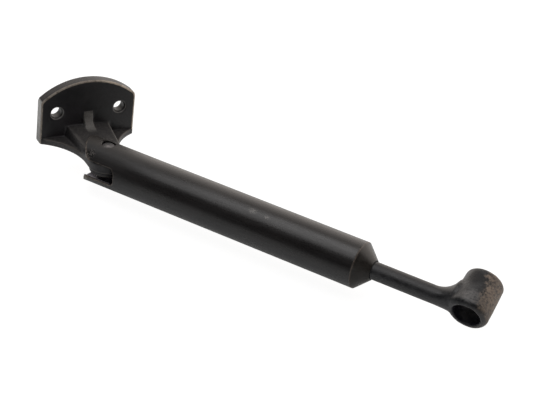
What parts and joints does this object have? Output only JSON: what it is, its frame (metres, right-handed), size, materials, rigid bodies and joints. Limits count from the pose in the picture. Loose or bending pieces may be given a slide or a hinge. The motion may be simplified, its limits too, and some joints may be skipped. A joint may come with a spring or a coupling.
{
  "type": "cabinet door stay",
  "caption": "Spring-loaded telescopic door stay: an arched screw-on bracket, a pivoting tube with a conical nose, and a sliding rod that ends in a cylindrical eye.",
  "frame": {"origin": "centre of the bracket plate's back face, midway between its two screw holes", "axes": "+X out of the mounting surface, +Y along the line of the screw holes, +Z along the pivot pin, towards the plate's arch"},
  "size_m": [0.1944, 0.14, 0.0402],
  "materials": {
    "black_casting": "satin black paint on a rough casting, worn pale along the rim",
    "black_tube": "satin black, lightly rubbed",
    "black_nose": "satin black, turned",
    "blued_pin": "dark blued steel",
    "dark_forging": "dark oxide on steel, dusty brown wear on the eye",
    "spring_steel": "oiled spring steel",
    "plain_steel": "turned steel",
    "bronze": "oiled bronze",
    "black_nylon": "moulded nylon",
    "black_rubber": "moulded rubber"
  },
  "bodies": {
    "bracket": {"mounting_bracket": "black_casting", "pivot_bush": "bronze"},
    "barrel": {"barrel_tube": "black_tube", "pivot_pin": "blued_pin", "upper_pivot_spacer": "black_nylon", "lower_pivot_spacer": "black_nylon", "end_plug": "plain_steel", "plug_snap_ring": "spring_steel", "nose_cone": "black_nose", "nose_snap_ring": "spring_steel", "rod_guide": "bronze", "rod_wiper": "black_rubber", "stop_buffer": "black_rubber", "main_spring": "spring_steel"},
    "slider": {"thrust_ring": "plain_steel"},
    "rod": {"eye_rod": "dark_forging", "piston_head": "plain_steel", "piston_wear_ring": "black_nylon", "piston_washer": "plain_steel", "piston_nut": "plain_steel"}
  },
  "joints": [
    {"name": "barrel_swing", "type": "hinge", "parent": "bracket", "child": "barrel", "pos_m": [0.0322, 0, -0.0146], "axis": [0, 0, 1], "range_deg": [-98.1, 31.9]},
    {"name": "rod_slide", "type": "slide", "parent": "barrel", "child": "slider", "axis": [0.8377, 0.5461, 0], "range_m": [-0.028, 0], "stiffness_N_per_m": 2950, "springref_m": 0.022, "deforming": ["main_spring"]},
    {"name": "rod_spin", "type": "hinge", "parent": "slider", "child": "rod", "pos_m": [0.12259, 0.05892, -0.0146], "axis": [0.8377, 0.5461, 0], "continuous": true}
  ]
}
